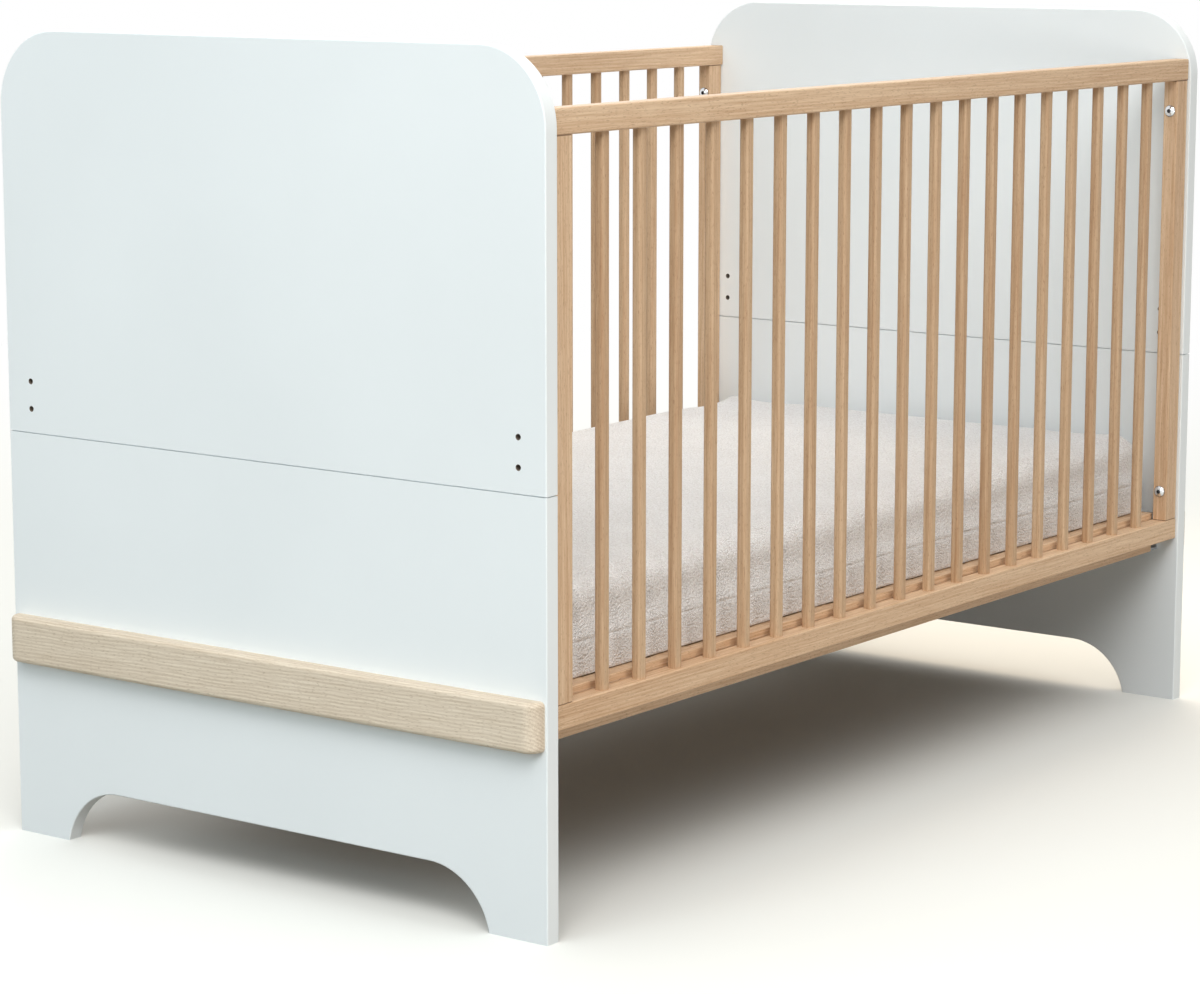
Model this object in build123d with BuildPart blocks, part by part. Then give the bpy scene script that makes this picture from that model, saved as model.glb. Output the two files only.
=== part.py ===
from build123d import *
import os
from math import asin, cos, pi, sin, sqrt

# Baby crib for a 70 by 140 cm mattress: two end boards, each made of a lower and an upper board,
# two slatted sides bolted between them, a slatted base that lifts to a second height, and a mattress.
# Millimetres. X runs along the bed, the front side is at -Y and Z is up.
# The origin is on the floor, in the middle of the bed.

# End boards
inner_length = 1400.0
board_width = 782.4
board_height = 939.0
board_thickness = 20.0
board_round = 1.5
seam_height = 478.0
seam_groove_height = 0.6
seam_groove_depth = 3.0
top_corner_radius = 85.0
foot_width = 79.0
arch_height = 66.0
arch_radius = 82.7

# Slatted sides
rail_height = 28.0
rail_thickness = 22.0
rail_round = 2.0
rail_setback = 3.7
rail_end_gap = 1.0
top_rail_top = 875.5
bottom_rail_bottom = 225.5
post_width = 29.5
post_depth = 20.0
post_round = 2.0
post_bevel = 0.8
slat_count = 19
slat_width = 14.0
slat_depth = 12.0
slat_round = 4.0
slat_end_gap = 58.5
mortise_depth = 12.0

# Beech strips on the outside of the lower boards
strip_height = 54.5
strip_thickness = 19.0
strip_inset = 3.0
strip_round = 5.5
strip_end_land = 1.5
strip_dowel_count = 4
strip_dowel_spacing = 180.0

# Bed base
beam_thickness = 18.0
beam_height = 54.0
beam_bottom = 208.0
beam_round = 1.5
base_hole_inset = 36.5
base_hole_lift = 10.0
base_hole_spacing = 32.0
base_hole_radius = 3.25
upper_hole_lift = 28.0
base_slat_count = 14
base_slat_width = 60.0
base_slat_thickness = 12.0
base_slat_round = 1.5
base_slat_housing = 9.0
base_slat_end_distance = 45.0
bracket_thickness = 3.0
bracket_width = 12.0
bracket_height = 50.0
bracket_bearing = 40.0

# Mattress
mattress_end_gap = 5.0
mattress_side_gap = 16.5
mattress_thickness = 105.0
mattress_crown = 5.0
mattress_waist = 3.0
mattress_corner = 24.0
mattress_top_round = 25.0
mattress_bottom_round = 8.0
mattress_seam_height = 39.0
mattress_seam_width = 6.0
mattress_seam_depth = 1.5

# Fasteners
bolt_radius = 3.0
bolt_head_radius = 7.5
bolt_head_height = 4.5
bolt_head_rim = 1.2
bolt_socket_radius = 2.6
bolt_socket_depth = 2.5
bolt_engagement = 12.0
bolt_rail_distance = 40.0
insert_radius = 5.0
insert_depth = 13.0
insert_flange_radius = 8.0
dowel_radius = 4.0
dowel_length = 24.0
dowel_bevel = 0.8
seam_dowel_count = 3
seam_dowel_spacing = 300.0

# Clearances
fit_clearance = 0.1
drill_clearance = 0.5
bolt_hole_clearance = 0.25
head_clearance = 0.5
bracket_clearance = 0.3
bolt_end_clearance = 2.5
rest_clearance = 0.3

# Lengths and places that follow from the sizes above
half_inner = inner_length / 2
half_width = board_width / 2
arch_reach = sqrt(arch_radius**2 - (arch_radius - arch_height) ** 2)
arch_flat = board_width - 2 * (foot_width + arch_reach)
rail_length = inner_length - 2 * rail_end_gap
rail_y = half_width - rail_setback - rail_thickness / 2
top_rail_bottom = top_rail_top - rail_height
bottom_rail_top = bottom_rail_bottom + rail_height
side_opening = top_rail_bottom - bottom_rail_top
post_x = half_inner - rail_end_gap - post_width / 2
post_y = half_width - rail_setback - post_depth / 2
post_face_x = post_x - post_width / 2
slat_pitch = 2 * (post_face_x - slat_end_gap - slat_width / 2) / (slat_count - 1)
upper_bolt_z = top_rail_bottom - bolt_rail_distance
lower_bolt_z = bottom_rail_top + bolt_rail_distance
bolt_length = post_width + rail_end_gap + bolt_engagement
base_hole_y = half_width - base_hole_inset
low_hole_z = beam_bottom + base_hole_lift
high_hole_z = seam_height + upper_hole_lift
beam_top = beam_bottom + beam_height
beam_half_length = half_inner - (bolt_length - board_thickness) - bolt_end_clearance
beam_inner_y = base_hole_y - beam_thickness / 2
base_slat_pitch = 2 * (beam_half_length - base_slat_end_distance) / (base_slat_count - 1)
base_slat_length = 2 * (beam_inner_y + base_slat_housing - fit_clearance)
strip_length = board_width - 2 * strip_inset
strip_z = beam_bottom + strip_height / 2
mattress_length = inner_length - 2 * mattress_end_gap
mattress_width = 2 * (rail_y - rail_thickness / 2 - mattress_side_gap)
mattress_bottom = beam_top + rest_clearance
dowel_hole_radius = dowel_radius + fit_clearance
dowel_hole_depth = dowel_length / 2 + drill_clearance

ends = {"left": -1, "right": 1}
sides = {"front": -1, "back": 1}


def spread(count, pitch):
    """Evenly spaced places along a line, centred on zero."""
    return [(index - (count - 1) / 2) * pitch for index in range(count)]


def end_plane(end, distance):
    """Upright plane at an end board, facing out of the bed, at a distance from the inner face."""
    return Plane(origin=(end * (half_inner + distance), 0, 0), x_dir=(0, end, 0), z_dir=(end, 0, 0))


def drill(plane, points, radius, depth):
    """Cut round holes into the current part, to a depth along the plane's normal."""
    with BuildSketch(plane) as holes:
        with Locations(*points):
            Circle(radius)
    extrude(holes.sketch, amount=depth, mode=Mode.SUBTRACT)


def base_hole_points(lowest):
    """The two pairs of holes that carry the base's brackets, on an end board."""
    heights = [lowest, lowest + base_hole_spacing]
    return [(side * base_hole_y, height) for side in sides.values() for height in heights]


def drill_board(end, seam_direction, insert_z, hole_z):
    """Holes that a lower and an upper board both have: seam dowels, insert nuts and base bolts."""
    seam_x = end * (half_inner + board_thickness / 2)
    seam_points = [(seam_x, y) for y in spread(seam_dowel_count, seam_dowel_spacing)]
    drill(Plane.XY.offset(seam_height), seam_points, dowel_hole_radius, seam_direction * dowel_hole_depth)
    insert_points = [(side * post_y, insert_z) for side in sides.values()]
    drill(end_plane(end, 0), insert_points, insert_radius + fit_clearance, insert_depth + drill_clearance)
    drill(end_plane(end, 0), base_hole_points(hole_z), base_hole_radius, board_thickness)


def groove_seam(end, direction):
    """Cut a board's half of the shadow groove that runs round the seam between the boards."""
    with BuildSketch(Plane.XY.offset(seam_height)) as groove:
        with Locations((end * (half_inner + board_thickness / 2), 0)):
            Rectangle(2 * board_thickness, board_width + board_thickness)
            tongue_width = board_width - 2 * seam_groove_depth
            Rectangle(board_thickness - 2 * seam_groove_depth, tongue_width, mode=Mode.SUBTRACT)
    extrude(groove.sketch, amount=direction * seam_groove_height, mode=Mode.SUBTRACT)


def lower_board(end):
    """Lower end board with two feet and the arch between them."""
    with BuildPart() as board:
        with BuildSketch(end_plane(end, 0)):
            with Locations((0, seam_height / 2)):
                Rectangle(board_width, seam_height)
            with Locations((0, arch_height - arch_radius)):
                SlotCenterToCenter(arch_flat, 2 * arch_radius, mode=Mode.SUBTRACT)
        extrude(amount=board_thickness)
        face_edges = board.faces().filter_by(Axis.X).edges()
        seam_edges = face_edges.group_by(Axis.Z)[-1]
        foot_edges = face_edges.group_by(Axis.Z)[0]
        fillet(face_edges - seam_edges - foot_edges, board_round)
        groove_seam(end, -1)
        drill_board(end, -1, lower_bolt_z, low_hole_z)
        strip_points = [(y, strip_z) for y in spread(strip_dowel_count, strip_dowel_spacing)]
        drill(end_plane(end, board_thickness), strip_points, dowel_hole_radius, -dowel_hole_depth)
    return board.part


def upper_board(end):
    """Upper end board with rounded top corners, standing on the lower one."""
    with BuildPart() as board:
        with BuildSketch(end_plane(end, 0)) as outline:
            with Locations((0, (seam_height + board_height) / 2)):
                Rectangle(board_width, board_height - seam_height)
            fillet(outline.vertices().group_by(Axis.Y)[-1], top_corner_radius)
        extrude(amount=board_thickness)
        face_edges = board.faces().filter_by(Axis.X).edges()
        seam_edges = face_edges.group_by(Axis.Z)[0]
        fillet(face_edges - seam_edges, board_round)
        groove_seam(end, 1)
        drill_board(end, 1, upper_bolt_z, high_hole_z)
    return board.part


def strip(end):
    """Beech strip with rounded ends that covers the base bolts' heads."""
    with BuildPart() as bar:
        back = half_inner + board_thickness
        with BuildSketch(Plane.XY.offset(strip_z - strip_height / 2)) as outline:
            with Locations((end * (back + strip_thickness / 2), 0)):
                Rectangle(strip_thickness, strip_length)
            outer_corners = outline.vertices().sort_by(Axis.X, reverse=end < 0)[2:]
            fillet(outer_corners, strip_thickness - strip_end_land)
        extrude(amount=strip_height)
        long_edges = bar.faces().filter_by(Axis.Z).edges()
        fillet(long_edges.filter_by(lambda edge: abs(edge.center().X) > back + fit_clearance), strip_round)
        dowel_points = [(y, strip_z) for y in spread(strip_dowel_count, strip_dowel_spacing)]
        drill(end_plane(end, board_thickness), dowel_points, dowel_hole_radius, dowel_hole_depth)
        pocket_radius = bolt_head_radius + head_clearance
        pocket_depth = bolt_head_height + head_clearance
        drill(end_plane(end, board_thickness), base_hole_points(low_hole_z), pocket_radius, pocket_depth)
    return bar.part


def rail(side, bottom, joint_z, into):
    """Long side rail with a mortise for each slat and a dowel hole for each post."""
    with BuildPart() as bar:
        with BuildSketch(Plane.YZ):
            with Locations((side * rail_y, bottom + rail_height / 2)):
                RectangleRounded(rail_thickness, rail_height, rail_round)
        extrude(amount=rail_length / 2, both=True)
        with BuildSketch(Plane.XY.offset(joint_z)):
            with Locations(*[(x, side * rail_y) for x in spread(slat_count, slat_pitch)]):
                RectangleRounded(
                    slat_width + 2 * fit_clearance,
                    slat_depth + 2 * fit_clearance,
                    slat_round + fit_clearance,
                )
        extrude(amount=into * mortise_depth, mode=Mode.SUBTRACT)
        post_points = [(end * post_x, side * post_y) for end in ends.values()]
        drill(Plane.XY.offset(joint_z), post_points, dowel_hole_radius, into * dowel_hole_depth)
    return bar.part


def post(end, side):
    """Short upright between the rails, bolted to the end board."""
    with BuildPart() as upright:
        with BuildSketch(Plane.XY.offset(bottom_rail_top)):
            with Locations((end * post_x, side * post_y)):
                RectangleRounded(post_width, post_depth, post_round)
        extrude(amount=side_opening)
        chamfer(upright.faces().filter_by(Axis.Z).edges(), post_bevel)
        centre = [(end * post_x, side * post_y)]
        drill(Plane.XY.offset(bottom_rail_top), centre, dowel_hole_radius, dowel_hole_depth)
        drill(Plane.XY.offset(top_rail_bottom), centre, dowel_hole_radius, -dowel_hole_depth)
        bolt_plane = Plane.YZ.offset(end * post_x - post_width / 2)
        bolt_points = [(side * post_y, lower_bolt_z), (side * post_y, upper_bolt_z)]
        drill(bolt_plane, bolt_points, bolt_radius + bolt_hole_clearance, post_width)
    return upright.part


def slat(x, side):
    """Upright slat, its ends housed in the rails' mortises."""
    with BuildPart() as bar:
        with BuildSketch(Plane.XY.offset(bottom_rail_top - mortise_depth + fit_clearance)):
            with Locations((x, side * rail_y)):
                RectangleRounded(slat_width, slat_depth, slat_round)
        extrude(amount=side_opening + 2 * (mortise_depth - fit_clearance))
    return bar.part


def base_beam(side):
    """Long beam of the base, notched for the cross slats and grooved under each end for a bracket."""
    with BuildPart() as beam:
        with BuildSketch(Plane.YZ):
            with Locations((side * base_hole_y, beam_bottom + beam_height / 2)):
                RectangleRounded(beam_thickness, beam_height, beam_round)
        extrude(amount=beam_half_length, both=True)
        notch_y = side * (beam_inner_y + base_slat_housing / 2)
        with BuildSketch(Plane.XY.offset(beam_top)):
            with Locations(*[(x, notch_y) for x in spread(base_slat_count, base_slat_pitch)]):
                Rectangle(base_slat_width + 2 * fit_clearance, base_slat_housing)
        extrude(amount=-base_slat_thickness, mode=Mode.SUBTRACT)
        groove_length = bracket_bearing + bracket_clearance
        groove_x = beam_half_length - groove_length / 2
        with BuildSketch(Plane.XY.offset(beam_bottom)):
            with Locations(*[(end * groove_x, side * base_hole_y) for end in ends.values()]):
                Rectangle(groove_length, bracket_width + 2 * bracket_clearance)
        extrude(amount=bracket_thickness, mode=Mode.SUBTRACT)
    return beam.part


def base_slats():
    """Cross slats of the base, let in flush with the beams' tops."""
    with BuildPart() as slats:
        with BuildSketch(Plane.XZ):
            slat_z = beam_top - base_slat_thickness / 2
            with Locations(*[(x, slat_z) for x in spread(base_slat_count, base_slat_pitch)]):
                RectangleRounded(base_slat_width, base_slat_thickness, base_slat_round)
        extrude(amount=base_slat_length / 2, both=True)
    return slats.part


def base_bracket(end, side):
    """Steel angle, bolted through an end board, whose foot carries a beam in its groove."""
    with BuildPart() as bracket:
        with BuildSketch(Plane.XZ.offset(-side * base_hole_y)):
            with BuildLine():
                wall = end * half_inner
                foot_tip = end * (beam_half_length - bracket_bearing)
                inside = wall - end * bracket_thickness
                Polyline(
                    (wall, beam_bottom),
                    (foot_tip, beam_bottom),
                    (foot_tip, beam_bottom + bracket_thickness),
                    (inside, beam_bottom + bracket_thickness),
                    (inside, beam_bottom + bracket_height),
                    (wall, beam_bottom + bracket_height),
                    close=True,
                )
            make_face()
        extrude(amount=bracket_width / 2, both=True)
        hole_points = [(end * side * base_hole_y, low_hole_z + rise) for rise in (0, base_hole_spacing)]
        drill(end_plane(end, 0), hole_points, bolt_radius + fit_clearance, -bracket_thickness)
    return bracket.part


def bolt():
    """Domed bolt with a hexagon socket: the head stands on the XY plane, the shank runs down."""
    with BuildPart() as screw:
        with BuildSketch(Plane.XZ):
            with BuildLine():
                crown = (0, bolt_head_height)
                rim = (bolt_head_radius, bolt_head_rim)
                Polyline(crown, (0, -bolt_length), (bolt_radius, -bolt_length), (bolt_radius, 0))
                Polyline((bolt_radius, 0), (bolt_head_radius, 0), rim)
                dome_rise = bolt_head_height - bolt_head_rim
                dome_radius = (bolt_head_radius**2 + dome_rise**2) / (2 * dome_rise)
                half_angle = asin(bolt_head_radius / dome_radius) / 2
                middle = (
                    dome_radius * sin(half_angle),
                    bolt_head_height - dome_radius * (1 - cos(half_angle)),
                )
                ThreePointArc(rim, middle, crown)
            make_face()
        revolve(axis=Axis.Z)
        with BuildSketch(Plane.XY.offset(bolt_head_height)):
            RegularPolygon(bolt_socket_radius, 6)
        extrude(amount=-bolt_socket_depth, mode=Mode.SUBTRACT)
    return screw.part


def insert_nut():
    """Flanged insert nut: its flange lies below the XY plane, its sleeve runs up into the board."""
    with BuildPart() as nut:
        with BuildSketch(Plane.XY):
            Circle(insert_radius)
        extrude(amount=insert_depth)
        with BuildSketch(Plane.XY):
            Circle(insert_flange_radius)
        extrude(amount=-rail_end_gap)
        mouth = Plane.XY.offset(-rail_end_gap)
        drill(mouth, [(0, 0)], bolt_radius + fit_clearance, rail_end_gap + insert_depth)
    return nut.part


def dowel():
    """Beech dowel along Z, half of it on each side of the XY plane."""
    with BuildPart() as peg:
        with BuildSketch(Plane.XY):
            Circle(dowel_radius)
        extrude(amount=dowel_length / 2, both=True)
        chamfer(peg.faces().filter_by(Axis.Z).edges(), dowel_bevel)
    return peg.part


def copies(piece, planes):
    """One group of separate solids: the piece repeated on each plane."""
    with BuildPart() as group:
        with Locations(*planes):
            add(piece)
    return group.part


def bolts():
    """Identical bolts: through each post into an insert nut, and through each end board into a bracket."""
    planes = []
    for end in ends.values():
        for side in sides.values():
            for z in (lower_bolt_z, upper_bolt_z):
                planes.append(Plane(origin=(end * post_face_x, side * post_y, z), z_dir=(-end, 0, 0)))
            for z in (low_hole_z, low_hole_z + base_hole_spacing):
                outer_x = end * (half_inner + board_thickness)
                planes.append(Plane(origin=(outer_x, side * base_hole_y, z), z_dir=(end, 0, 0)))
    return copies(bolt(), planes)


def insert_nuts():
    """Insert nuts in the end boards, whose flanges keep the sides clear of the boards."""
    planes = []
    for end in ends.values():
        for side in sides.values():
            for z in (lower_bolt_z, upper_bolt_z):
                planes.append(Plane(origin=(end * half_inner, side * post_y, z), z_dir=(end, 0, 0)))
    return copies(insert_nut(), planes)


def dowels():
    """Identical dowels: in the boards' seams, behind the strips and at the ends of the posts."""
    planes = []
    for end in ends.values():
        seam_x = end * (half_inner + board_thickness / 2)
        for y in spread(seam_dowel_count, seam_dowel_spacing):
            planes.append(Plane(origin=(seam_x, y, seam_height)))
        for y in spread(strip_dowel_count, strip_dowel_spacing):
            outer_x = end * (half_inner + board_thickness)
            planes.append(Plane(origin=(outer_x, y, strip_z), z_dir=(end, 0, 0)))
        for side in sides.values():
            for z in (bottom_rail_top, top_rail_bottom):
                planes.append(Plane(origin=(end * post_x, side * post_y, z)))
    return copies(dowel(), planes)


def base_brackets():
    """The four steel angles that carry the base."""
    with BuildPart() as group:
        add([base_bracket(end, side) for end in ends.values() for side in sides.values()])
    return group.part


def mattress_outline(inset):
    """Rounded rectangle whose four sides are drawn in towards their middles."""
    half_x = mattress_length / 2 - inset
    half_y = mattress_width / 2 - inset
    run_x = half_x - mattress_corner
    run_y = half_y - mattress_corner
    ThreePointArc((-run_x, -half_y), (0, mattress_waist - half_y), (run_x, -half_y))
    CenterArc((run_x, -run_y), mattress_corner, -90, 90)
    ThreePointArc((half_x, -run_y), (half_x - mattress_waist, 0), (half_x, run_y))
    CenterArc((run_x, run_y), mattress_corner, 0, 90)
    ThreePointArc((run_x, half_y), (0, half_y - mattress_waist), (-run_x, half_y))
    CenterArc((-run_x, run_y), mattress_corner, 90, 90)
    ThreePointArc((-half_x, run_y), (mattress_waist - half_x, 0), (-half_x, -run_y))
    CenterArc((-run_x, -run_y), mattress_corner, 180, 90)


def mattress_layers():
    """Inset and height of each outline, from the rounded bottom edge over the seam to the crown."""
    round_steps = 4
    crown_steps = 3
    shoulder = mattress_thickness - mattress_crown
    turns = [pi / 2 * step / round_steps for step in range(round_steps + 1)]
    layers = []
    for turn in turns:
        layers.append((mattress_bottom_round * (1 - sin(turn)), mattress_bottom_round * (1 - cos(turn))))
    layers.append((0, mattress_seam_height - mattress_seam_width / 2))
    layers.append((mattress_seam_depth, mattress_seam_height))
    layers.append((0, mattress_seam_height + mattress_seam_width / 2))
    for turn in turns:
        layers.append((mattress_top_round * (1 - cos(turn)), shoulder - mattress_top_round * (1 - sin(turn))))
    crown_run = mattress_width / 2 - mattress_top_round - 2 * mattress_corner
    for step in range(1, crown_steps + 1):
        share = step / crown_steps
        crown_height = shoulder + mattress_crown * sin(pi / 2 * share)
        layers.append((mattress_top_round + crown_run * share, crown_height))
    return layers


def mattress():
    """Foam mattress with soft edges, a seam round its sides and a slightly crowned top."""
    with BuildPart() as pad:
        for inset, height in mattress_layers():
            with BuildSketch(Plane.XY.offset(mattress_bottom + height)):
                with BuildLine():
                    mattress_outline(inset)
                make_face()
        loft(ruled=True)
    return pad.part


def save(piece, name):
    """Label a finished piece and write it as its own file."""
    piece.label = name
    export_step(piece, f"parts/{name}.step")


os.makedirs("parts", exist_ok=True)

for end_name, end in ends.items():
    save(lower_board(end), f"{end_name}_lower_board")
    save(upper_board(end), f"{end_name}_upper_board")
    save(strip(end), f"{end_name}_strip")

for side_name, side in sides.items():
    save(rail(side, top_rail_bottom, top_rail_bottom, 1), f"{side_name}_top_rail")
    save(rail(side, bottom_rail_bottom, bottom_rail_top, -1), f"{side_name}_bottom_rail")
    save(base_beam(side), f"base_{side_name}_beam")
    for end_name, end in ends.items():
        save(post(end, side), f"{side_name}_{end_name}_post")
    for number, x in enumerate(spread(slat_count, slat_pitch), start=1):
        save(slat(x, side), f"{side_name}_slat_{number:02d}")

save(base_slats(), "base_slats")
save(mattress(), "mattress")
save(base_brackets(), "base_brackets")
save(bolts(), "bolts")
save(insert_nuts(), "insert_nuts")
save(dowels(), "dowels")
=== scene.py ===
import math

import bmesh
import bpy
import mathutils
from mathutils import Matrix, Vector


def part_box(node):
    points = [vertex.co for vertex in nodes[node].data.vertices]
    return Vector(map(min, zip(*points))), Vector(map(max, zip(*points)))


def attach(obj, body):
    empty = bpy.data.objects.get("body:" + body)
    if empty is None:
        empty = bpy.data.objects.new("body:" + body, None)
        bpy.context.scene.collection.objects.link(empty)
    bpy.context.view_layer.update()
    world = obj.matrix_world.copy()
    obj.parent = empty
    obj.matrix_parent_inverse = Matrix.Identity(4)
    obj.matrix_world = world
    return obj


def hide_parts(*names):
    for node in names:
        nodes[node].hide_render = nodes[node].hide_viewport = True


# Looks of a baby crib: painted end boards, beech sides and strips, bright bolts and a foam mattress.
# Metres, in the frame of the solids: X runs along the bed, the front side is at -Y and Z is up.

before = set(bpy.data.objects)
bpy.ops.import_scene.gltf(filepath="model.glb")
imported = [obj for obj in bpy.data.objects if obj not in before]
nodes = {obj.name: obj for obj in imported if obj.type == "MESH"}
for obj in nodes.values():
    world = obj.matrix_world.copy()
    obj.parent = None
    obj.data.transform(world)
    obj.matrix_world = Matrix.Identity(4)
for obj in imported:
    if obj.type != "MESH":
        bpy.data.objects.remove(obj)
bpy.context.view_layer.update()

MM = 0.001

# Camera
camera_place = (-3.5036, -2.5155, 1.0800)
camera_yaw = 36.449
camera_pitch = 9.740
camera_lens = 103.75
camera_sensor = 36.0

# Axes along X, each by its distance from the middle and its height: the boards' holes and the bolts
hole_axes = [(354.7 * MM, height * MM) for height in (218, 250, 506, 538)]
bolt_axes = hole_axes[:2] + [(377.5 * MM, height * MM) for height in (293.5, 807.5)]
hole_radius = 3.3 * MM

# Mattress
pad_side_shrink = 0.8 * MM
pad_top_shrink = 5 * MM
pad_waist = 3 * MM
pad_corner = 24 * MM
pad_top_edge = 24 * MM
pad_bottom_edge = 4 * MM
pad_cell = 20 * MM
pad_edge_places = [value * MM for value in (0, 3, 7, 12, 18, 25, 34, 46, 60)]
pad_low_rows = (0, 2.5, 5.5, 12, 21, 29, 34)
pad_seam_rows = (36.5, 38.2, 39, 39.8, 41.5)
pad_high_rows = (44, 50, 59, 68)
pad_side_heights = [value * MM for value in pad_low_rows + pad_seam_rows + pad_high_rows]
pad_pressure = 4.0
pad_frames = 20
pad_cap = 9 * MM
pad_rest_gap = 0.2 * MM
pad_ripple = 0.7 * MM
seam_rise = 39 * MM
seam_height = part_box("mattress")[0].z + pad_rest_gap + seam_rise
seam_depth = 1.8 * MM
seam_reach = 5 * MM
seam_row = 0.15 * MM
stitch_spacing = 6 * MM
stitch_length = 3.6 * MM
stitch_radius = 0.55 * MM


class Wire:
    """An output in a node tree. Sums and products of wires and numbers add Math nodes to that tree."""

    def __init__(self, tree, socket=None):
        self.tree = tree
        self.socket = socket

    def node(self, kind, settings=None, inputs=None, output=0):
        """Adds a node: its settings first, then a value or a wire for each input. Returns one output."""
        made = self.tree.nodes.new(kind)
        for name, value in (settings or {}).items():
            setattr(made, name, value)
        for name, value in (inputs or {}).items():
            if isinstance(value, Wire):
                self.tree.links.new(value.socket, made.inputs[name])
            else:
                made.inputs[name].default_value = value
        return Wire(self.tree, made.outputs[output]) if made.outputs else None

    def beside(self, output):
        """Another output of the same node."""
        return Wire(self.tree, self.socket.node.outputs[output])

    def math(self, operation, first, second):
        return self.node("ShaderNodeMath", {"operation": operation}, {0: first, 1: second})

    def __add__(self, other):
        return self.math("ADD", self, other)

    def __radd__(self, other):
        return self.math("ADD", other, self)

    def __sub__(self, other):
        return self.math("SUBTRACT", self, other)

    def __rsub__(self, other):
        return self.math("SUBTRACT", other, self)

    def __mul__(self, other):
        return self.math("MULTIPLY", self, other)

    def __rmul__(self, other):
        return self.math("MULTIPLY", other, self)

    def __truediv__(self, other):
        return self.math("DIVIDE", self, other)


def srgb(red, green, blue):
    """A colour from 0 to 255 as a screen shows it, turned into the linear colour that a shader takes."""
    linear = []
    for value in (red, green, blue):
        share = value / 255
        linear.append(share / 12.92 if share <= 0.04045 else ((share + 0.055) / 1.055) ** 2.4)
    return (*linear, 1.0)


def object_place(start):
    return start.node("ShaderNodeTexCoord", output="Object")


def scaled(place, scale):
    return place.node("ShaderNodeMapping", {}, {"Vector": place, "Scale": scale})


def along_grain(place, axis, length, width):
    """Object coordinates for a pattern as long as length along the axis and as wide as width across it."""
    scale = [1 / width] * 3
    scale["XYZ".index(axis)] = 1 / length
    return scaled(place, scale)


def part_of(place, axis):
    """One coordinate of a place."""
    return place.node("ShaderNodeSeparateXYZ", {}, {"Vector": place}, axis)


def absolute(value):
    return value.math("ABSOLUTE", value, 0)


def root(value):
    return value.math("SQRT", value, 0)


def off_axis(place, axes):
    """Distance from the nearest of some axes along X."""
    aside = absolute(part_of(place, "Y"))
    height = part_of(place, "Z")
    nearest = None
    for axis_y, axis_z in axes:
        across = aside - axis_y
        rise = height - axis_z
        distance = root(across * across + rise * rise)
        nearest = distance.math("MINIMUM", nearest, distance) if nearest else distance
    return nearest


def noise(place, detail=2.0, roughness=0.5, distortion=0.0):
    inputs = {"Vector": place, "Scale": 1.0, "Detail": detail}
    inputs.update({"Roughness": roughness, "Distortion": distortion})
    return place.node("ShaderNodeTexNoise", {}, inputs, "Fac")


def spread(value, contrast):
    """A noise about one half, with its contrast raised and its ends kept between 0 and 1."""
    settings = {"operation": "MULTIPLY_ADD", "use_clamp": True}
    return value.node("ShaderNodeMath", settings, {0: value, 1: contrast, 2: 0.5 - 0.5 * contrast})


def step(value, low, high):
    """0 below low, 1 above high and smooth between them."""
    settings = {"interpolation_type": "SMOOTHSTEP"}
    inputs = {"Value": value, "From Min": low, "From Max": high}
    return value.node("ShaderNodeMapRange", settings, inputs, "Result")


def mix(factor, first, second, blend="MIX"):
    settings = {"data_type": "RGBA", "blend_type": blend}
    return factor.node("ShaderNodeMix", settings, {0: factor, 6: first, 7: second}, 2)


def bump(height, distance, strength=1.0):
    return height.node("ShaderNodeBump", {}, {"Height": height, "Distance": distance, "Strength": strength})


def finish(name, sockets):
    """A material whose principled shader takes the values and wires that sockets returns for its inputs."""
    material = bpy.data.materials.new(name)
    material.use_nodes = True
    material.node_tree.nodes.clear()
    start = Wire(material.node_tree)
    shader = start.node("ShaderNodeBsdfPrincipled", {}, sockets(start))
    start.node("ShaderNodeOutputMaterial", {}, {"Surface": shader})
    return material


def painted_board(start):
    """White satin paint on board: a faint rolled texture, slightly uneven, and bare board in the holes."""
    place = object_place(start)
    cloud = noise(scaled(place, (3, 3, 3)), 3)
    rolled = noise(scaled(place, (420, 420, 420)), 2)
    paint = mix(spread(cloud, 2.0), srgb(235, 240, 242), srgb(240, 245, 247))
    bare = 1 - step(off_axis(place, hole_axes), hole_radius, hole_radius + 0.3 * MM)
    return {
        "Base Color": mix(bare, paint, srgb(128, 117, 106)),
        "Roughness": 0.42 + 0.10 * rolled,
        "Specular IOR Level": 0.35,
        "Normal": bump(rolled, 0.05 * MM, 0.35),
    }


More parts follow.
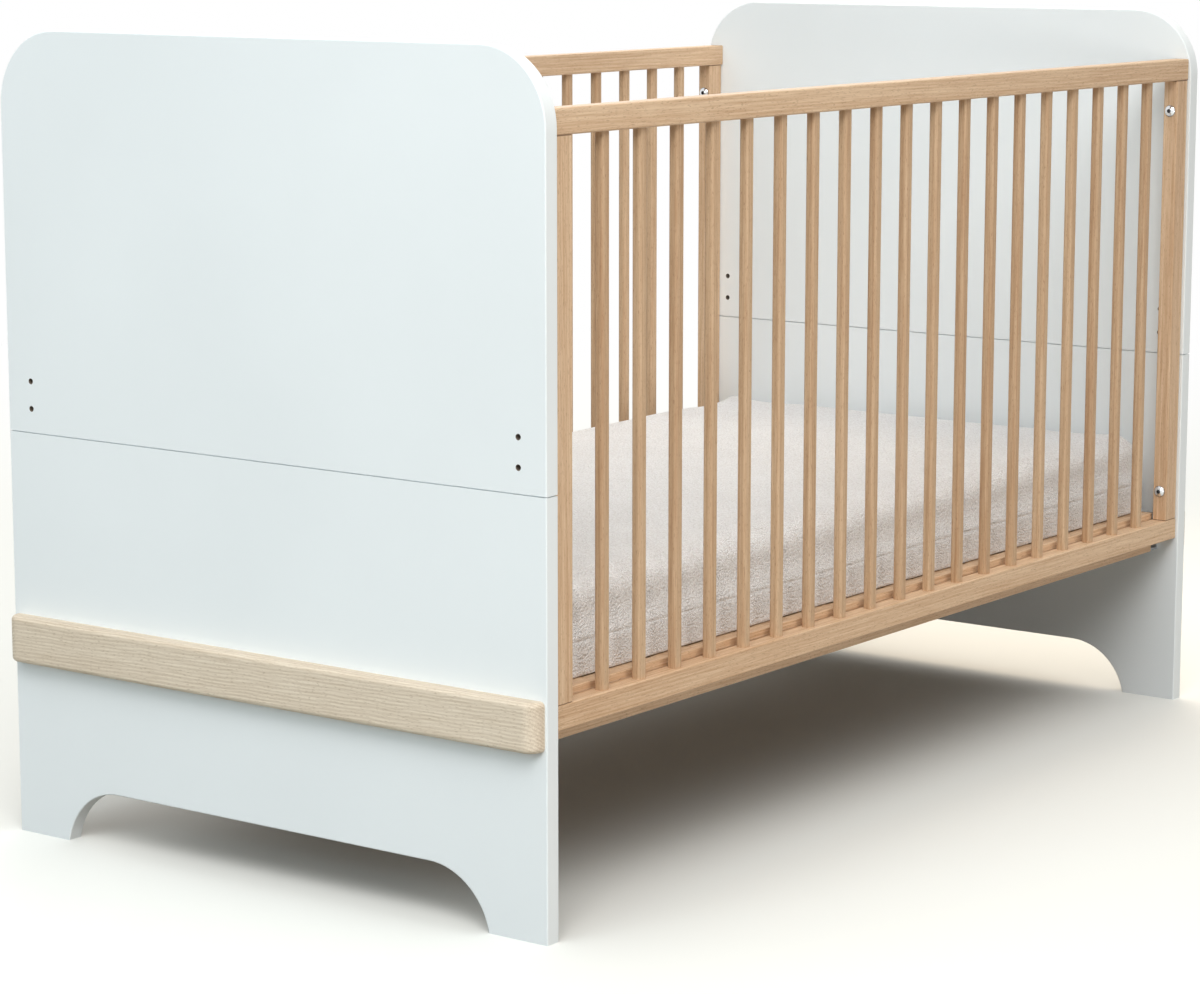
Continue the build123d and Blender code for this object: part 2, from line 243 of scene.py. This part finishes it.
def beech(axis, tones, slope, ring_width, ring_share, wander_length, bend):
    """Varnished beech with its grain along an axis: growth rings, streaks, fibres and short dark flecks.

    The rings are layers across the slope, ring_width apart, that bend over each wander_length,
    and ring_share says how much they show.
    """
    deep, pale, fleck_colour = tones

    def sockets(start):
        place = object_place(start)
        dot = {"operation": "DOT_PRODUCT"}
        layer = place.node("ShaderNodeVectorMath", dot, {0: place, 1: slope}, "Value")
        wander = noise(along_grain(place, axis, wander_length, 26 * MM), 2)
        turn = 2 * math.pi * (layer / ring_width + bend * wander)
        ring = 0.5 + 0.5 * turn.math("SINE", turn, 0)
        tone = noise(along_grain(place, axis, 1.8, 40 * MM), 1)
        streak = noise(along_grain(place, axis, 190 * MM, 2.8 * MM), 4, 0.65, 0.2)
        fibre = noise(along_grain(place, axis, 34 * MM, 1.0 * MM), 2, 0.6)
        dash = noise(along_grain(place, axis, 6 * MM, 0.8 * MM), 1)
        plain = 0.42 * streak + 0.32 * fibre + 0.26 * tone
        grain = spread((1 - ring_share) * plain + ring_share * ring, 3.6)
        fleck = step(dash, 0.62, 0.70)
        colour = mix(0.4 * fleck, mix(grain, deep, pale), fleck_colour)
        return {
            "Base Color": colour,
            "Roughness": 0.46 + 0.16 * fibre,
            "Specular IOR Level": 0.4,
            "Normal": bump(fibre - 0.6 * fleck, 0.12 * MM, 0.5),
        }

    return sockets


def post_beech(start):
    """Upright beech with painted shade in the thin joints at both ends of a post, where it meets the rails.
    """
    sockets = beech("Z", honey, upright_slope, *upright_rings)(start)
    low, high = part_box("front_left_post")
    height = part_of(object_place(start), "Z")
    from_end = height.math("MINIMUM", height - low.z, high.z - height)
    # Painted shade: a dark band within about a millimetre of each end of the post, standing in for the
    # shadow in its joint with a rail
    joint_shade = 1 - step(from_end, 0.5 * MM, 1.3 * MM)
    sockets["Base Color"] = mix(0.8 * joint_shade, sockets["Base Color"], srgb(92, 62, 38))
    return sockets


def bright_metal(start):
    """Bright plated steel with fine turning marks, with painted shade in the bolts' sockets and a painted
    dull reflection round their rims.
    """
    place = object_place(start)
    from_axis = off_axis(place, bolt_axes)
    mark = noise(scaled(place, (1500, 400, 400)), 2)
    # Painted shade: the hex socket of each bolt is coloured dark where its recess falls in shade
    socket = 1 - step(from_axis, 2.5 * MM, 3.1 * MM)
    # Painted reflection: a duller grey ring on the dome's flank, standing in for the wood it reflects
    rim_reflection = step(from_axis, 6.4 * MM, 7.4 * MM)
    plated = mix(rim_reflection, srgb(226, 228, 230), srgb(146, 144, 142))
    return {
        "Base Color": mix(socket, plated, srgb(98, 98, 102)),
        "Metallic": 1.0,
        "Roughness": 0.16 + 0.12 * mark,
        "Normal": bump(mark, 0.02 * MM, 0.3),
    }


def zinc_metal(start):
    """Zinc-plated steel with a dull crystalline bloom."""
    place = object_place(start)
    bloom = place.node("ShaderNodeTexVoronoi", {}, {"Vector": place, "Scale": 240.0}, "Color")
    grey = bloom.node("ShaderNodeRGBToBW", {}, {"Color": bloom})
    return {
        "Base Color": mix(spread(grey, 0.6), srgb(168, 172, 176), srgb(202, 205, 208)),
        "Metallic": 1.0,
        "Roughness": 0.32 + 0.16 * grey,
    }


def mattress_cloth(start):
    """Pale looped cover with a pebbled face."""
    place = object_place(start)
    cells = {"Vector": place, "Scale": 400.0, "Smoothness": 0.35, "Randomness": 1.0}
    pebble = place.node("ShaderNodeTexVoronoi", {"feature": "SMOOTH_F1"}, cells, "Distance")
    loop = noise(scaled(place, (700, 700, 700)), 2)
    cloud = noise(scaled(place, (9, 9, 9)), 2)
    grain = spread(0.50 * loop + 0.14 * cloud + 0.36 * (1 - pebble), 3.0)
    colour = mix(grain, srgb(218, 213, 211), srgb(250, 249, 249))
    height = 0.5 * loop - pebble
    return {
        "Base Color": colour,
        "Roughness": 0.95,
        "Specular IOR Level": 0.15,
        "Sheen Weight": 0.25,
        "Sheen Roughness": 0.6,
        "Normal": bump(height, 2.2 * MM, 0.9),
    }


def sewing_thread(start):
    """Twisted pale thread."""
    place = object_place(start)
    ply = noise(scaled(place, (1600, 1600, 1600)), 1)
    return {
        "Base Color": mix(ply, srgb(205, 199, 194), srgb(236, 232, 228)),
        "Roughness": 0.8,
        "Normal": bump(ply, 0.2 * MM, 0.5),
    }


# Wood tones: deep, pale and fleck
honey = (srgb(190, 150, 113), srgb(231, 203, 171), srgb(140, 98, 64))
amber = (srgb(175, 137, 102), srgb(214, 185, 152), srgb(130, 91, 60))
ashen = (srgb(196, 177, 154), srgb(232, 219, 200), srgb(150, 122, 92))

# Slope of the growth rings in upright pieces, long pieces, cross pieces and strips, and their size
upright_slope = (1.0, 0.55, 0.012)
long_slope = (0.012, 0.55, 1.0)
cross_slope = (0.6, 0.012, 1.0)
strip_slope = (0.7, 0.03, 1.0)
upright_rings = (4.2 * MM, 0.05, 420 * MM, 2.4)
long_rings = (4.2 * MM, 0.05, 420 * MM, 2.6)
strip_rings = (4.0 * MM, 0.11, 75 * MM, 2.0)

finishes = {
    "white_board": finish("white_board_paint", painted_board),
    "post_beech": finish("post_beech", post_beech),
    "slat_beech": finish("slat_beech", beech("Z", amber, upright_slope, *upright_rings)),
    "rail_beech": finish("rail_beech", beech("X", honey, long_slope, *long_rings)),
    "cross_beech": finish("cross_beech", beech("Y", honey, cross_slope, *long_rings)),
    "strip_beech": finish("strip_beech_oiled", beech("Y", ashen, strip_slope, *strip_rings)),
    "bright_bolt": finish("bright_bolt_plating", bright_metal),
    "zinc_steel": finish("zinc_plating", zinc_metal),
    "mattress_cover": finish("mattress_cover_knit", mattress_cloth),
    "thread": finish("sewing_thread", sewing_thread),
}


def finish_for(name):
    """The finish of a solid, by its place in the crib."""
    if name.endswith("board"):
        return finishes["white_board"]
    if name.endswith("strip"):
        return finishes["strip_beech"]
    if name.endswith("rail") or name.endswith("beam"):
        return finishes["rail_beech"]
    if name.startswith(("front_slat", "back_slat")):
        return finishes["slat_beech"]
    if name in ("base_slats", "dowels"):
        return finishes["cross_beech"]
    if name == "bolts":
        return finishes["bright_bolt"]
    if name in ("base_brackets", "insert_nuts"):
        return finishes["zinc_steel"]
    if name == "mattress":
        return finishes["mattress_cover"]
    return finishes["post_beech"]


for name, solid in nodes.items():
    for slot in solid.material_slots:
        slot.material = finish_for(name)


def new_piece(name, mesh, finish_name):
    """A mesh as an object of the crib, with one finish."""
    piece = bpy.data.objects.new(name, mesh)
    piece.data.materials.clear()
    piece.data.materials.append(finishes[finish_name])
    bpy.context.scene.collection.objects.link(piece)
    return piece


def edged_places(length):
    """Places along a side of the mattress: close together near both ends, evenly spaced between them."""
    inner = pad_edge_places[-1]
    count = round((length - 2 * inner) / pad_cell)
    middle = [inner + (length - 2 * inner) * index / count for index in range(1, count)]
    return pad_edge_places + middle + [length - place for place in reversed(pad_edge_places)]


def rounded_edge(inset, depth, radius):
    """Moves a point of a square edge onto a round one: its distance in from the side and from the face."""
    across = max(radius - inset, 0)
    along = max(radius - depth, 0)
    reach = math.hypot(across, along)
    if across == 0 or along == 0:
        return inset, depth
    grow = max(across, along) / reach
    return radius - across * grow, radius - along * grow


def pad_point(place, half_x, half_y, height):
    """A point of the plain block's skin, moved to the mattress's round corners and drawn-in sides."""
    x, y, z = place
    inset = min(half_x - abs(x), half_y - abs(y))
    if z < height / 2:
        new_inset, z = rounded_edge(inset, z, pad_bottom_edge)
    else:
        new_inset, depth = rounded_edge(inset, height - z, pad_top_edge)
        z = height - depth
    corner = Vector((max(abs(x) - half_x + pad_corner, 0), max(abs(y) - half_y + pad_corner, 0)))
    core = Vector((abs(x), abs(y))) - corner
    outward = corner.normalized()
    if corner.length > 0:
        flat = core + outward * (pad_corner - new_inset)
    else:
        flat = core
    waist = pad_waist * z / height
    waist_x = waist * (1 - (y / half_y) ** 2) * (flat.x / half_x) ** 8
    waist_y = waist * (1 - (x / half_x) ** 2) * (flat.y / half_y) ** 8
    return Vector((math.copysign(flat.x - waist_x, x), math.copysign(flat.y - waist_y, y), z))


def pad_block():
    """The mattress before it swells: a block with soft edges, a little smaller than its solid."""
    low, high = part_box("mattress")
    half_x = high.x - pad_side_shrink
    half_y = high.y - pad_side_shrink
    height = high.z - low.z - pad_rest_gap - pad_top_shrink
    xs = [place - half_x for place in edged_places(2 * half_x)]
    ys = [place - half_y for place in edged_places(2 * half_y)]
    top_room = height - pad_side_heights[-1]
    zs = pad_side_heights + [height - place for place in reversed(pad_edge_places) if place < top_room]
    block = bmesh.new()
    points = {}

    def corner_of(place):
        key = tuple(round(value, 6) for value in place)
        if key not in points:
            spot = pad_point(place, half_x, half_y, height)
            points[key] = block.verts.new(spot + Vector((0, 0, low.z + pad_rest_gap)))
        return points[key]

    def skin(firsts, seconds, place):
        for first, next_first in zip(firsts, firsts[1:]):
            for second, next_second in zip(seconds, seconds[1:]):
                near = [(first, second), (next_first, second)]
                far = [(next_first, next_second), (first, next_second)]
                block.faces.new([corner_of(place(*spot)) for spot in near + far])

    skin(xs, ys, lambda x, y: (x, y, height))
    skin(ys, xs, lambda y, x: (x, y, 0))
    skin(xs, zs, lambda x, z: (x, -half_y, z))
    skin(zs, xs, lambda z, x: (x, half_y, z))
    skin(ys, zs, lambda y, z: (half_x, y, z))
    skin(zs, ys, lambda z, y: (-half_x, y, z))
    mesh = bpy.data.meshes.new("mattress_block")
    block.to_mesh(mesh)
    block.free()
    return mesh


def applied(piece):
    """Makes the piece a plain mesh: its modifiers are applied and removed, and its finish stays."""
    piece_finish = piece.data.materials[0]
    shape = piece.evaluated_get(bpy.context.evaluated_depsgraph_get())
    piece.data = bpy.data.meshes.new_from_object(shape)
    piece.modifiers.clear()
    piece.data.materials.clear()
    piece.data.materials.append(piece_finish)


def swell(piece):
    """Lets air pressure fill the cover for a few frames, and keeps each point near where it began."""
    start = [vertex.co.copy() for vertex in piece.data.vertices]
    cloth = piece.modifiers.new("cloth", "CLOTH")
    cloth.settings.use_pressure = True
    cloth.settings.uniform_pressure_force = pad_pressure
    cloth.settings.quality = 5
    cloth.settings.mass = 0.35
    cloth.settings.tension_stiffness = 25
    cloth.settings.compression_stiffness = 25
    cloth.settings.bending_stiffness = 2.0
    cloth.settings.effector_weights.gravity = 0
    sewn = piece.vertex_groups.new(name="sewn")
    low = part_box("mattress")[0]
    for vertex in piece.data.vertices:
        at_seam = abs(vertex.co.z - seam_height) < seam_reach / 2
        if at_seam or vertex.co.z - low.z < pad_bottom_edge / 2:
            sewn.add([vertex.index], 1.0, "REPLACE")
    cloth.settings.vertex_group_mass = sewn.name
    cloth.point_cache.frame_start = 1
    cloth.point_cache.frame_end = pad_frames
    for number in range(1, pad_frames + 1):
        bpy.context.scene.frame_set(number)
    applied(piece)
    bpy.context.scene.frame_set(1)
    for vertex, place in zip(piece.data.vertices, start):
        move = vertex.co - place
        if move.length > pad_cap:
            vertex.co = place + move * (pad_cap / move.length)


def settle(piece):
    """Rests the cover flat on the slats below it and keeps it inside its solid's space."""
    low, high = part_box("mattress")
    for vertex in piece.data.vertices:
        vertex.co.x = min(max(vertex.co.x, low.x), high.x)
        vertex.co.y = min(max(vertex.co.y, low.y), high.y)
        vertex.co.z = min(max(vertex.co.z, low.z + pad_rest_gap), high.z)


def ripple(piece):
    """Soft unevenness of a filled cover, on its sides and top."""
    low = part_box("mattress")[0]
    normals = [vertex.normal.copy() for vertex in piece.data.vertices]
    for vertex, normal in zip(piece.data.vertices, normals):
        if vertex.co.z > low.z + 2 * pad_bottom_edge:
            wave = mathutils.noise.noise(vertex.co * 9.0) + 0.5 * mathutils.noise.noise(vertex.co * 23.0)
            free = min(abs(vertex.co.z - seam_height) / (2 * seam_reach), 1)
            vertex.co += normal * (pad_ripple * (wave - 0.6) * free)


def sew_seam(piece):
    """Draws the sides in along the seam."""
    normals = [vertex.normal.copy() for vertex in piece.data.vertices]
    for vertex, normal in zip(piece.data.vertices, normals):
        away = abs(vertex.co.z - seam_height) / seam_reach
        if away < 1:
            inward = Vector((normal.x, normal.y, 0)).normalized()
            vertex.co -= inward * (seam_depth * (1 - away) ** 2)


def make_mattress():
    """Foam mattress in a sewn cover, filled by simulation."""
    pad = new_piece("mattress_pad", pad_block(), "mattress_cover")
    swell(pad)
    settle(pad)
    smooth = pad.modifiers.new("smooth", "SUBSURF")
    smooth.levels = 1
    smooth.render_levels = 1
    applied(pad)
    ripple(pad)
    settle(pad)
    sew_seam(pad)
    pad.data.shade_smooth()
    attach(pad, "mattress")
    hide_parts("mattress")
    return pad


def stitch_tree():
    """Geometry nodes that lay short plump stitches along a path."""
    tree = bpy.data.node_groups.new("seam_stitches", "GeometryNodeTree")
    tree.interface.new_socket("Path", in_out="INPUT", socket_type="NodeSocketGeometry")
    for size in ("Spacing", "Length", "Radius"):
        tree.interface.new_socket(size, in_out="INPUT", socket_type="NodeSocketFloat")
    tree.interface.new_socket("Stitches", in_out="OUTPUT", socket_type="NodeSocketGeometry")
    path = Wire(tree).node("NodeGroupInput", output="Path")
    curve = path.node("GeometryNodeMeshToCurve", {}, {"Mesh": path})
    spaced = {"Curve": curve, "Length": path.beside("Spacing")}
    points = path.node("GeometryNodeCurveToPoints", {"mode": "LENGTH"}, spaced, "Points")
    bead = path.node("GeometryNodeMeshUVSphere", {}, {"Segments": 6, "Rings": 5, "Radius": 1.0}, "Mesh")
    radius = path.beside("Radius")
    half_length = 0.5 * path.beside("Length")
    scale = path.node("ShaderNodeCombineXYZ", {}, {"X": radius, "Y": radius, "Z": half_length})
    laid = {"Points": points, "Instance": bead, "Rotation": points.beside("Rotation"), "Scale": scale}
    stitches = path.node("GeometryNodeInstanceOnPoints", {}, laid)
    stitches = path.node("GeometryNodeRealizeInstances", {}, {"Geometry": stitches})
    stitches = path.node("GeometryNodeSetShadeSmooth", {}, {"Geometry": stitches})
    sewn = {"Geometry": stitches, "Material": finishes["thread"]}
    stitches = path.node("GeometryNodeSetMaterial", {}, sewn)
    path.node("NodeGroupOutput", {}, {"Stitches": stitches})
    return tree


def make_stitches(pad):
    """Thread stitches in the mattress's seam, laid round the sides of its cover."""
    spots = [vertex.co.copy() for vertex in pad.data.vertices]
    ring = [spot for spot in spots if abs(spot.z - seam_height) < seam_row]
    ring.sort(key=lambda place: math.atan2(place.y, place.x))
    mesh = bpy.data.meshes.new("seam_path")
    mesh.from_pydata(ring, [(index, (index + 1) % len(ring)) for index in range(len(ring))], [])
    stitches = new_piece("mattress_stitches", mesh, "thread")
    tree = stitch_tree()
    sewing = stitches.modifiers.new("stitches", "NODES")
    sewing.node_group = tree
    sizes = {"Spacing": stitch_spacing, "Length": stitch_length, "Radius": stitch_radius}
    for socket in tree.interface.items_tree:
        if socket.name in sizes:
            sewing[socket.identifier] = sizes[socket.name]
    applied(stitches)
    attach(stitches, "mattress")


make_stitches(make_mattress())


def add_camera():
    camera = bpy.data.objects.new("camera", bpy.data.cameras.new("camera"))
    camera.data.sensor_fit = "HORIZONTAL"
    camera.data.sensor_width = camera_sensor
    camera.data.lens = camera_lens
    camera.location = camera_place
    camera.rotation_euler = (math.radians(90 - camera_pitch), 0, math.radians(camera_yaw - 90))
    bpy.context.scene.collection.objects.link(camera)
    bpy.context.scene.camera = camera


def seen_directly(start):
    """1 for what the camera sees, straight or in a reflection, and 0 for light on its way to the object."""
    camera = start.node("ShaderNodeLightPath", output="Is Camera Ray")
    either = camera.math("MAXIMUM", camera, camera.beside("Is Glossy Ray"))
    return either.math("MAXIMUM", either, camera.beside("Is Transmission Ray"))


def add_floor():
    """Pale floor that keeps the crib's shadow and turns white further out."""
    reach = 60.0
    fade_start = 1.6
    fade_end = 4.5
    bounce_colour = (0.22, 0.208, 0.18, 1)
    seen_colour = (0.84, 0.838, 0.805, 1)
    mesh = bpy.data.meshes.new("floor")
    corners = [(-reach, -reach, 0), (reach, -reach, 0), (reach, reach, 0), (-reach, reach, 0)]
    mesh.from_pydata(corners, [], [(0, 1, 2, 3)])
    floor = bpy.data.objects.new("floor", mesh)
    bpy.context.scene.collection.objects.link(floor)
    material = bpy.data.materials.new("floor")
    material.use_nodes = True
    material.node_tree.nodes.clear()
    start = Wire(material.node_tree)
    place = object_place(start)
    distance = place.node("ShaderNodeVectorMath", {"operation": "LENGTH"}, {0: place}, "Value")
    seen = seen_directly(start)
    far = step(distance, fade_start, fade_end) * seen
    pale = mix(seen, bounce_colour, seen_colour)
    matt = start.node("ShaderNodeBsdfDiffuse", {}, {"Color": pale})
    white = start.node("ShaderNodeEmission", {}, {"Color": (1, 1, 1, 1), "Strength": 1.0})
    surface = far.node("ShaderNodeMixShader", {}, {0: far, 1: matt, 2: white})
    start.node("ShaderNodeOutputMaterial", {}, {"Surface": surface})
    mesh.materials.append(material)


def add_sky():
    """Soft light from all round, brighter from above, behind a white backdrop."""
    world = bpy.data.worlds.new("studio")
    world.use_nodes = True
    world.node_tree.nodes.clear()
    bpy.context.scene.world = world
    start = Wire(world.node_tree)
    direction = start.node("ShaderNodeTexCoord", output="Generated")
    up = part_of(direction, "Z")
    low_strength = 0.05
    top_strength = 1.35
    warm_low = (1.0, 0.92, 0.78, 1)
    warm_end = (1.0, 0.97, 0.92, 1)
    cool_end = (0.90, 0.97, 1.0, 1)
    strength = low_strength + (top_strength - low_strength) * step(up, 0.25, 1.0)
    cool = step(part_of(direction, "X"), 0.7, -0.9)
    colour = mix(step(up, 0.1, 0.5), warm_low, mix(cool, warm_end, cool_end))
    light = start.node("ShaderNodeBackground", {}, {"Color": colour, "Strength": strength})
    white = start.node("ShaderNodeBackground", {}, {"Color": (1, 1, 1, 1), "Strength": 1.0})
    seen = seen_directly(start)
    surface = seen.node("ShaderNodeMixShader", {}, {0: seen, 1: light, 2: white})
    start.node("ShaderNodeOutputWorld", {}, {"Surface": surface})


def add_lamp(name, place, target, size, watts, colour, spread_angle=180):
    """A soft rectangular lamp, hidden from the camera."""
    data = bpy.data.lights.new(name, "AREA")
    data.shape = "RECTANGLE"
    data.size, data.size_y = size
    data.energy = watts
    data.spread = math.radians(spread_angle)
    data.color = colour
    lamp = bpy.data.objects.new(name, data)
    lamp.location = place
    lamp.rotation_euler = (Vector(target) - Vector(place)).to_track_quat("-Z", "Y").to_euler()
    lamp.visible_camera = False
    bpy.context.scene.collection.objects.link(lamp)


add_camera()
add_floor()
add_sky()
add_lamp("key", (-3.5, -2.6, 4.0), (0, -0.1, 0.4), (3.0, 2.6), 158, (1.0, 0.985, 0.965))
add_lamp("left_fill", (-5.0, 0.3, 1.8), (-0.7, 0, 0.45), (2.4, 2.0), 60, (0.82, 0.95, 1.0))
add_lamp("front_fill", (-0.8, -4.2, 0.42), (0, -0.39, 0.40), (3.0, 0.7), 42, (1.0, 0.965, 0.92))
add_lamp("far_end_glow", (1.35, 0.0, 1.7), (1.05, 0.05, 0.0), (0.5, 0.9), 2.2, (1.0, 0.80, 0.56), 70)
add_lamp("back_fill", (3.4, 3.0, 3.2), (0.3, 0.2, 0.4), (3.0, 2.4), 56, (1.0, 0.985, 0.96))

bpy.context.scene.view_settings.view_transform = "Standard"
